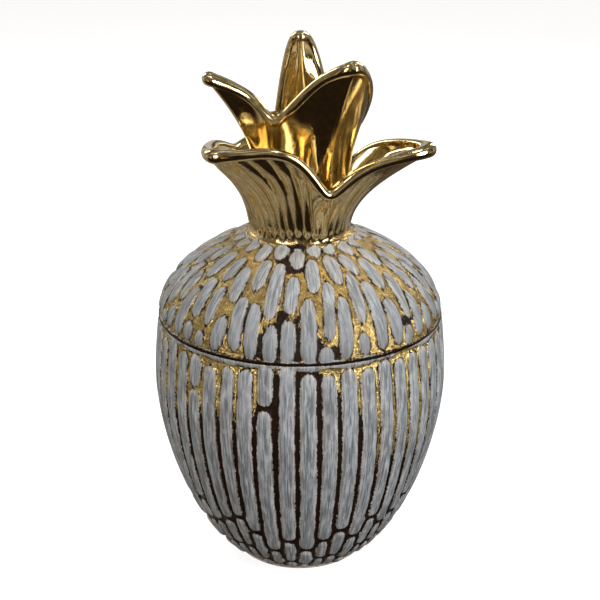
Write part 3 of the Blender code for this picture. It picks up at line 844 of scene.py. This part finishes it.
def lip_radii(tier, azimuths):
    """The radius of a tier's rolled lip, which swells at the tips of the leaves."""
    index, _, share = tier_shares(tier, azimuths)
    swellings = np.array([tip["swelling"] for tip in tier["leaves"]])
    return (LIP_RADIUS + swellings[index] * np.exp(-((share / SWELLING_SHARE) ** 2)))[:, None]


def filled(tier, azimuths, points):
    """Raises a wall's inner side where it lies far below the rim, so that leaves are shallow channels."""
    centre_x, centre_y = tier["centre"]
    radii = np.hypot(points[:, 0] - centre_x, points[:, 1] - centre_y)
    made = points.copy()
    shares = np.linspace(0.0, 1.0, CURVE_STEPS)
    for number, sign, inside in leaf_sides(tier, azimuths):
        _, rim_radii, rim_heights = rim_points(tier, number, sign, shares)
        low, high = rim_radii[-1], rim_radii[0]
        if high > low:
            level = np.interp(radii[inside], rim_radii[::-1], rim_heights[::-1]) - FILL_SINK
            share = np.clip((radii[inside] - low) / max(high - low, FILL_REACH) * FILL_HASTE, 0.0, 1.0)
            made[inside, 2] += FILL * share * np.maximum(level - points[inside, 2], 0.0)
    return made


def tier_rings(tier, azimuths, outer_climbs, inner_climbs, fluted):
    """The rings up a tier's outer wall, over its rolled lip and down its inner wall."""
    half = LEAF_WALL / 2
    rings = []
    for step, climb in enumerate(outer_climbs):
        point, outward, _ = frames(tier, azimuths, climb)
        stands = outer_flutes(azimuths, step / (len(outer_climbs) - 1)) if fluted else 0.0
        rings.append(free_ring(point + outward * np.reshape(half + stands, (-1, 1))))
    point, outward, across = frames(tier, azimuths, 1.0)
    radius = lip_radii(tier, azimuths)
    for angle in np.radians(np.linspace(-LIP_SWEEP, LIP_SWEEP, LIP_RINGS)):
        rolled = point - outward * radius * math.sin(angle)
        rings.append(free_ring(rolled + across * radius * math.cos(angle)))
    for climb in inner_climbs:
        point, outward, _ = frames(tier, azimuths, climb)
        rings.append(free_ring(filled(tier, azimuths, point - outward * half)))
    return rings


def risen(tier, azimuths, start, first_share, floor, counts, fluted):
    """A tier's rings. start is the climb at its foot, and floor the climb where its inner wall ends."""
    lip = climb_below_lip(tier, azimuths)
    outer = [start + (lip - start) * share for share in np.linspace(first_share, 1.0, counts[0])]
    inner = [floor + (lip - floor) * share for share in np.linspace(1.0, 0.0, counts[1])]
    return tier_rings(tier, azimuths, outer, inner, fluted)


def crown_rings(azimuths):
    """The rings of both tiers, of the trough between them and of the upper tier's cup."""
    floor = climb_to(LOWER_TIER, azimuths, TROUGH_HEIGHT + TROUGH_STARTS[0])
    rings = risen(LOWER_TIER, azimuths, 0.0, FIRST_LOWER_SHARE, floor, LOWER_RINGS, True)
    last = rings[-1][:, :3]
    start = climb_to(UPPER_TIER, azimuths, TROUGH_HEIGHT + TROUGH_STARTS[1])
    point, outward, _ = frames(UPPER_TIER, azimuths, start)
    ahead = point + outward * LEAF_WALL / 2
    for share in TROUGH_SHARES:
        between = last + (ahead - last) * share
        between[:, 2] = TROUGH_HEIGHT
        rings.append(free_ring(between))
    floor = climb_to(UPPER_TIER, azimuths, CUP_HEIGHT + CUP_START)
    rings += risen(UPPER_TIER, azimuths, start, 0.0, floor, UPPER_RINGS, False)
    last = rings[-1][:, :3]
    centre = np.array([*UPPER_TIER["centre"], CUP_HEIGHT])
    for share in CUP_SHARES:
        shrunk = centre + (last - centre) * share
        shrunk[:, 2] = CUP_HEIGHT
        rings.append(free_ring(shrunk))
    return rings


def lid_inside(outline):
    """The lid's underside, (radius, height), from the hollow of the crown out to the flange."""
    inside = list(CROWN_HOLLOW)
    for length in LID_HOLLOW_LENGTHS:
        (radius, height), _ = (each[0] for each in profile_at(outline, np.array([length])))
        inside.append((radius - DOME_WALL_SHARES[0] * DOME_WALL, height - DOME_WALL_SHARES[1] * DOME_WALL))
    outer = RIM_RADIUS - WALL - CLEARANCE
    inner = outer - FLANGE_THICKNESS
    foot = RIM_HEIGHT - FLANGE_DEPTH
    inside += [(inner, SEAM + FLANGE_FILLET), (inner, foot + FLANGE_CORNER), (inner + FLANGE_CORNER, foot)]
    inside += [(outer - FLANGE_CORNER, foot), (outer, foot + FLANGE_CORNER), (outer, SEAM)]
    return inside


def dome_rings(pads, outline, azimuths):
    """The rings up the lid's carved dome."""
    total = walked(outline)[-1]
    lengths = np.linspace(EDGE_ROUNDING, total - DOME_MARGIN, DOME_RINGS)
    rings = []
    for length, (radius, height), (run_out, run_up) in zip(lengths, *profile_at(outline, lengths)):
        grain = grain_points(azimuths, length)
        gap = DOME_GROOVE_WIDTH - GROOVE_LOSS * length / total
        nearer = grain * (radius / DRUM_RADIUS, radius / DRUM_RADIUS, 1.0)
        place = pads, azimuths, length, radius
        depth = carved_depth(*place, gap, END_STRETCH, LID_LIP, nearer, LID_SEEDS)
        low = relief(depth)
        gilt = lid_gilt(azimuths, length, grain)
        rings.append(ring(azimuths, radius + run_up * low, height - run_out * low, depth, gilt, length))
    return rings


def bead_rings(pads, total, azimuths):
    """The rings of the bead round the foot of the crown, onto which the paint spills here and there."""
    gap = DOME_GROOVE_WIDTH - GROOVE_LOSS
    painted_edge = pad_depths(pads, azimuths, total, COLLAR_RADIUS, gap, END_STRETCH)
    rings = []
    for step, (out, up) in enumerate(BEAD):
        grain = grain_points(azimuths, COLLAR_HEIGHT + up)
        uneven = layered(grain, BEAD_WANDER, SEEDS["bead"])
        spill = painted_edge - SPILL_FALL * step + layered(grain, SPILL_WANDER, SEEDS["spill"])
        gilt = collar_gilt(azimuths, COLLAR_HEIGHT + up)
        radius, height = COLLAR_RADIUS + out + uneven, COLLAR_HEIGHT + up + uneven
        rings.append(ring(azimuths, radius, height, spill, gilt, total + step, step / (len(BEAD) - 1)))
    return rings


def make_lid(looks):
    pads = dome_pads(np.random.default_rng(SEEDS["lid"]))
    outline = dome_outline()
    fine, middling, coarse = (np.arange(count) * 360.0 / count for count in LID_COLUMNS)
    rings = [ring(coarse, radius, height) for radius, height in lid_inside(outline)]
    rings.append(ring(middling, RIM_RADIUS - FLANGE_FILLET, SEAM))
    # The lid's rounded edge is left bare dark glaze: painted shade along the seam
    rings.append(ring(fine, RIM_RADIUS - EDGE_ROUNDING - EDGE_INSET, SEAM, ridge=SEAM_SHADE_RIDGE))
    rings.append(ring(fine, RIM_RADIUS - EDGE_CORNER, SEAM + EDGE_CORNER, ridge=SEAM_SHADE_RIDGE))
    rings += dome_rings(pads, outline, fine)
    rings += bead_rings(pads, walked(outline)[-1], middling)
    rings += crown_rings(middling)
    return skin("painted_lid", rings, [0] * (len(rings) + 1), looks)


class Tree:
    """Short ways to add shader nodes. Where an input is wanted, a socket, a number or a colour will do."""

    def __init__(self, tree):
        self.tree = tree

    def add(self, kind, **settings):
        node = self.tree.nodes.new(kind)
        for name, value in settings.items():
            setattr(node, name, value)
        return node

    def feed(self, socket, value):
        if isinstance(value, bpy.types.NodeSocket):
            self.tree.links.new(value, socket)
        elif socket.type == "RGBA":
            socket.default_value = (*value, 1.0)
        else:
            socket.default_value = value

    def fed(self, kind, output, inputs, **settings):
        """A new node with some inputs given by name or number, and the output that is wanted of it."""
        node = self.add(kind, **settings)
        for name, value in inputs.items():
            self.feed(node.inputs[name], value)
        return node.outputs[output]

    def math(self, operation, first, second=0.0, third=0.0):
        return self.fed("ShaderNodeMath", 0, {0: first, 1: second, 2: third}, operation=operation)

    def product(self, *factors):
        made = factors[0]
        for factor in factors[1:]:
            made = self.math("MULTIPLY", made, factor)
        return made

    def mapped(self, value, start, end, low=0.0, high=1.0, smooth=True):
        inputs = {"Value": value, "From Min": start, "From Max": end, "To Min": low, "To Max": high}
        kind = "SMOOTHSTEP" if smooth else "LINEAR"
        return self.fed("ShaderNodeMapRange", "Result", inputs, interpolation_type=kind)

    def noise(self, vector, scale, detail, roughness):
        inputs = {"Vector": vector, "Scale": scale, "Detail": detail, "Roughness": roughness}
        return self.fed("ShaderNodeTexNoise", "Fac", inputs)

    def attribute(self, name, output="Fac"):
        return self.fed("ShaderNodeAttribute", output, {}, attribute_type="GEOMETRY", attribute_name=name)

    def scaled(self, vector, scale):
        return self.fed("ShaderNodeVectorMath", 0, {0: vector, 1: scale}, operation="MULTIPLY")

    def split(self, vector):
        node = self.add("ShaderNodeSeparateXYZ")
        self.feed(node.inputs[0], vector)
        return node.outputs

    def blend(self, share, first, second):
        node = self.add("ShaderNodeMix", data_type="RGBA")
        sockets = {socket.identifier: socket for socket in node.inputs}
        self.feed(sockets["Factor_Float"], share)
        self.feed(sockets["A_Color"], first)
        self.feed(sockets["B_Color"], second)
        return next(socket for socket in node.outputs if socket.identifier == "Result_Color")

    def bump(self, height, distance, strength=1.0, **inputs):
        inputs = {"Height": height, "Distance": distance, "Strength": strength, **inputs}
        return self.fed("ShaderNodeBump", "Normal", inputs)


def new_material(name):
    made = bpy.data.materials.new(name)
    made.use_nodes = True
    return made, Tree(made.node_tree), made.node_tree.nodes["Principled BSDF"]


def paint_colour(tree, noises, length, ridge, edge, finish_and_light):
    """Dry-brushed grey-white paint: bluish and worn on the crests, thick and lighter towards the edges. Low
    on the lid's dome it is darkened as painted shade, and towards the collar lightened as painted light.
    """
    streaks, patches = noises["streaks"], noises["patches"]
    middle = tree.mapped(tree.math("ADD", ridge, tree.mapped(streaks, 0.3, 0.7, -1.5, 1.5)), 0.6, 2.9)
    worn = tree.blend(tree.mapped(streaks, 0.40, 0.62), *WORN_PAINT)
    thick = tree.blend(tree.mapped(streaks, 0.38, 0.62), *THICK_PAINT)
    painted = tree.blend(tree.product(middle, 0.88), thick, worn)
    painted = tree.blend(tree.mapped(noises["blotches"], 0.35, 0.70, 0.0, 0.40), painted, BLOTCH)
    painted = tree.blend(tree.mapped(patches, 0.50, 0.68, 0.0, 0.45), painted, DARK_PATCH)
    painted = tree.blend(tree.mapped(patches, 0.48, 0.34, 0.0, 0.36), painted, LIGHT_PATCH)
    # Painted shade: the paint is darkened up to a given length along the piece, low on the lid's dome where
    # less light falls
    low_shade = tree.mapped(length, finish_and_light["low_shade"], finish_and_light["low_shade"] - LOW_SHADE_RUN, 0.0, 0.48)
    painted = tree.blend(low_shade, painted, LOW_SHADE_PAINT)
    # Painted light: the paint grows lighter between two lengths along the piece, towards the dome's top where
    # the light from above falls
    top_light = tree.mapped(length, *finish_and_light["top_light"], 0.0, 0.50)
    painted = tree.blend(tree.product(top_light, tree.mapped(streaks, 0.32, 0.56, 0.35, 1.0)), painted, TOP_LIGHT_PAINT)
    specks = tree.product(tree.mapped(noises["fine"], 0.53, 0.64), tree.mapped(edge, 1.6, 0.2, 0.22, 0.9))
    return tree.blend(specks, painted, SPECK)


def gold_places(tree, noises, gilt, edge):
    """Where the bare glaze is gilt. Beside a pad a dark line is left in places."""
    uneven = tree.math("ADD", gilt, tree.mapped(noises["lit"], 0.3, 0.7, -0.35, 0.35))
    outline = tree.math("ADD", edge, tree.mapped(noises["patches"], 0.35, 0.65, -0.85, 0.30))
    clear = tree.math("SUBTRACT", 1.0, tree.mapped(outline, -0.62, -0.36))
    return tree.product(tree.mapped(uneven, 0.45, 0.55), clear)


def gold_colour(tree, noises, polish, finish_and_light):
    """The gold: tarnished in places in the grooves, clean on the crown. Groove gold: painted shade on the
    lid, painted light on the jar.
    """
    # The deep and the bright gold are set per piece: darker on the lid as painted shade, brighter on the jar
    # as painted light
    groove_gold = tree.blend(tree.mapped(noises["lit"], 0.36, 0.62), *finish_and_light["gold"])
    groove_gold = tree.blend(tree.mapped(noises["tone"], 0.46, 0.66, 0.0, 0.60), groove_gold, TARNISH)
    leaf_gold = tree.blend(tree.mapped(noises["tone"], 0.35, 0.7), *LEAF_GOLD)
    return tree.blend(polish, groove_gold, leaf_gold)


def painted_ceramic(name, finish_and_light):
    """Dark brown glaze, gold lustre over part of it, and matt paint brushed over the raised pads."""
    made, tree, shader = new_material(name)
    ridge, gilt, polish = (tree.attribute(label) for label in ("ridge", "gilt", "polish"))
    grain = tree.attribute("grain", "Vector")
    noises = {
        label: tree.noise(tree.scaled(grain, (1.0, 1.0, stretch)), scale, detail, roughness)
        for label, (stretch, scale, detail, roughness) in NOISES.items()
    }
    edge = tree.math("ADD", ridge, tree.mapped(noises["ragged"], 0.25, 0.75, -0.55, 0.55, smooth=False))
    paint = tree.mapped(edge, 0.05, 0.30)
    bare = tree.math("SUBTRACT", 1.0, paint)
    gold_mask = gold_places(tree, noises, gilt, edge)
    length = tree.split(grain)["Z"]
    painted = paint_colour(tree, noises, length, ridge, edge, finish_and_light)
    brown = tree.blend(tree.mapped(noises["fine"], 0.4, 0.7), *BROWN_GLAZE)
    ground = tree.blend(gold_mask, brown, gold_colour(tree, noises, polish, finish_and_light))
    tree.feed(shader.inputs["Base Color"], tree.blend(paint, ground, painted))

    lustre = tree.mapped(polish, 0.0, 1.0, 0.72, 1.0, smooth=False)
    tree.feed(shader.inputs["Metallic"], tree.product(bare, gold_mask, lustre))
    gloss = tree.mapped(noises["gloss"], 0.3, 0.75, 0.12, 0.30)
    polished = tree.mapped(polish, 0.0, 1.0, 1.0, 0.38, smooth=False)
    matt = tree.mapped(noises["streaks"], 0.3, 0.7, 0.60, 0.80)
    rough = tree.math("ADD", tree.product(paint, matt), tree.product(bare, tree.product(gloss, polished)))
    tree.feed(shader.inputs["Roughness"], rough)
    glazed = tree.product(bare, tree.math("SUBTRACT", 1.0, gold_mask))
    tree.feed(shader.inputs["Specular IOR Level"], tree.mapped(glazed, 0.0, 1.0, 0.5, 0.10, smooth=False))

    crust = tree.product(paint, tree.math("MULTIPLY_ADD", noises["streaks"], 0.9, 0.5))
    painted_bump = tree.bump(crust, PAINT_BUMP)
    lumpy = tree.mapped(polish, 0.0, 1.0, 1.0, 0.09, smooth=False)
    height = tree.product(noises["lumps"], bare, lumpy)
    tree.feed(shader.inputs["Normal"], tree.bump(height, GOLD_BUMP, 0.8, Normal=painted_bump))
    return made


def bare_clay(name):
    """The unglazed foot."""
    made, tree, shader = new_material(name)
    place = tree.add("ShaderNodeTexCoord").outputs["Object"]
    specks = tree.noise(place, 900.0, 3.0, 0.6)
    stain = tree.noise(place, 60.0, 3.0, 0.6)
    clay = tree.blend(tree.mapped(stain, 0.3, 0.7), *CLAY)
    clay = tree.blend(tree.mapped(specks, 0.62, 0.75, 0.0, 0.6), clay, CLAY_SPECK)
    tree.feed(shader.inputs["Base Color"], clay)
    tree.feed(shader.inputs["Roughness"], 0.85)
    tree.feed(shader.inputs["Normal"], tree.bump(specks, CLAY_BUMP))
    return made


def add_floor():
    mesh = bpy.data.meshes.new("floor")
    corners = [(x * FLOOR_SIZE, y * FLOOR_SIZE, 0) for x, y in ((-1, -1), (1, -1), (1, 1), (-1, 1))]
    mesh.from_pydata(corners, [], [(0, 1, 2, 3)])
    floor = bpy.data.objects.new("floor", mesh)
    bpy.context.scene.collection.objects.link(floor)
    made, tree, shader = new_material("floor")
    tree.feed(shader.inputs["Base Color"], FLOOR_GREY)
    tree.feed(shader.inputs["Emission Color"], WHITE)
    tree.feed(shader.inputs["Emission Strength"], FLOOR_GLOW)
    tree.feed(shader.inputs["Roughness"], 0.9)
    mesh.materials.append(made)
    floor.visible_glossy = False
    floor.visible_diffuse = False


def add_studio():
    """A room for the gold to mirror, with upright bands of light and shade. The camera itself sees white."""
    scene = bpy.context.scene
    scene.world = bpy.data.worlds.new("studio")
    scene.world.use_nodes = True
    tree = Tree(scene.world.node_tree)
    direction = tree.add("ShaderNodeTexCoord").outputs["Generated"]
    side, away, up = tree.split(direction)
    bands = tree.noise(tree.scaled(direction, (1.0, 1.0, 0.15)), 6.5, 3.0, 0.60)
    tints = tree.noise(tree.scaled(direction, (1.0, 1.0, 0.3)), 2.6, 2.0, 0.5)
    tan = tree.blend(tree.mapped(tints, 0.40, 0.62), *TAN)
    front = tree.blend(tree.mapped(bands, 0.47, 0.55), FRONT_SHADE, tan)
    front = tree.blend(tree.mapped(bands, 0.61, 0.66), front, FRONT_LAMP)
    back = tree.blend(tree.mapped(bands, 0.42, 0.50), *BACK_TONES)
    room = tree.blend(tree.mapped(away, -0.10, 0.35), front, back)
    ceiling = tree.blend(tree.mapped(tree.noise(direction, 3.4, 2.0, 0.5), 0.60, 0.66), *CEILING)
    room = tree.blend(tree.mapped(up, 0.25, 0.60), room, ceiling)
    behind = tree.product(tree.mapped(away, 0.05, 0.45), tree.mapped(side, 0.20, -0.20, 0.25, 1.0))
    room = tree.blend(tree.mapped(up, -0.40, -0.12), tree.blend(behind, *BELOW), room)
    seen = tree.add("ShaderNodeLightPath").outputs["Is Camera Ray"]
    background = scene.world.node_tree.nodes["Background"]
    tree.feed(background.inputs["Color"], tree.blend(seen, room, WHITE))


def add_lamps():
    for name, (place, (width, height), power, tint) in LAMPS.items():
        data = bpy.data.lights.new(name, "AREA")
        data.energy = power
        data.color = tint
        data.shape = "RECTANGLE"
        data.size = width
        data.size_y = height
        lamp = bpy.data.objects.new(name, data)
        lamp.location = place
        lamp.rotation_euler = (LAMP_TARGET - Vector(place)).to_track_quat("-Z", "Y").to_euler()
        lamp.visible_glossy = name != HIDDEN_LAMP
        bpy.context.scene.collection.objects.link(lamp)


def add_camera():
    elevation = math.radians(CAMERA_ELEVATION)
    data = bpy.data.cameras.new("camera")
    data.sensor_width = CAMERA_SENSOR
    data.lens = CAMERA_LENS
    camera = bpy.data.objects.new("camera", data)
    away, up = CAMERA_DISTANCE * math.cos(elevation), CAMERA_DISTANCE * math.sin(elevation)
    camera.location = CAMERA_TARGET + Vector((0.0, -away, up))
    camera.rotation_euler = (math.pi / 2 - elevation, 0.0, 0.0)
    bpy.context.scene.collection.objects.link(camera)
    bpy.context.scene.camera = camera


def main():
    add_camera()
    add_floor()
    add_studio()
    add_lamps()
    clay = bare_clay("bare_clay")
    jar = make_jar((painted_ceramic("painted_jar", JAR_FINISH_AND_LIGHT), clay))
    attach(jar, "root")
    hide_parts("jar")
    lid = make_lid((painted_ceramic("painted_lid", LID_FINISH_AND_LIGHT),))
    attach(lid, "root")
    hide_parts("lid")
    bpy.context.scene.view_settings.view_transform = "Standard"


main()
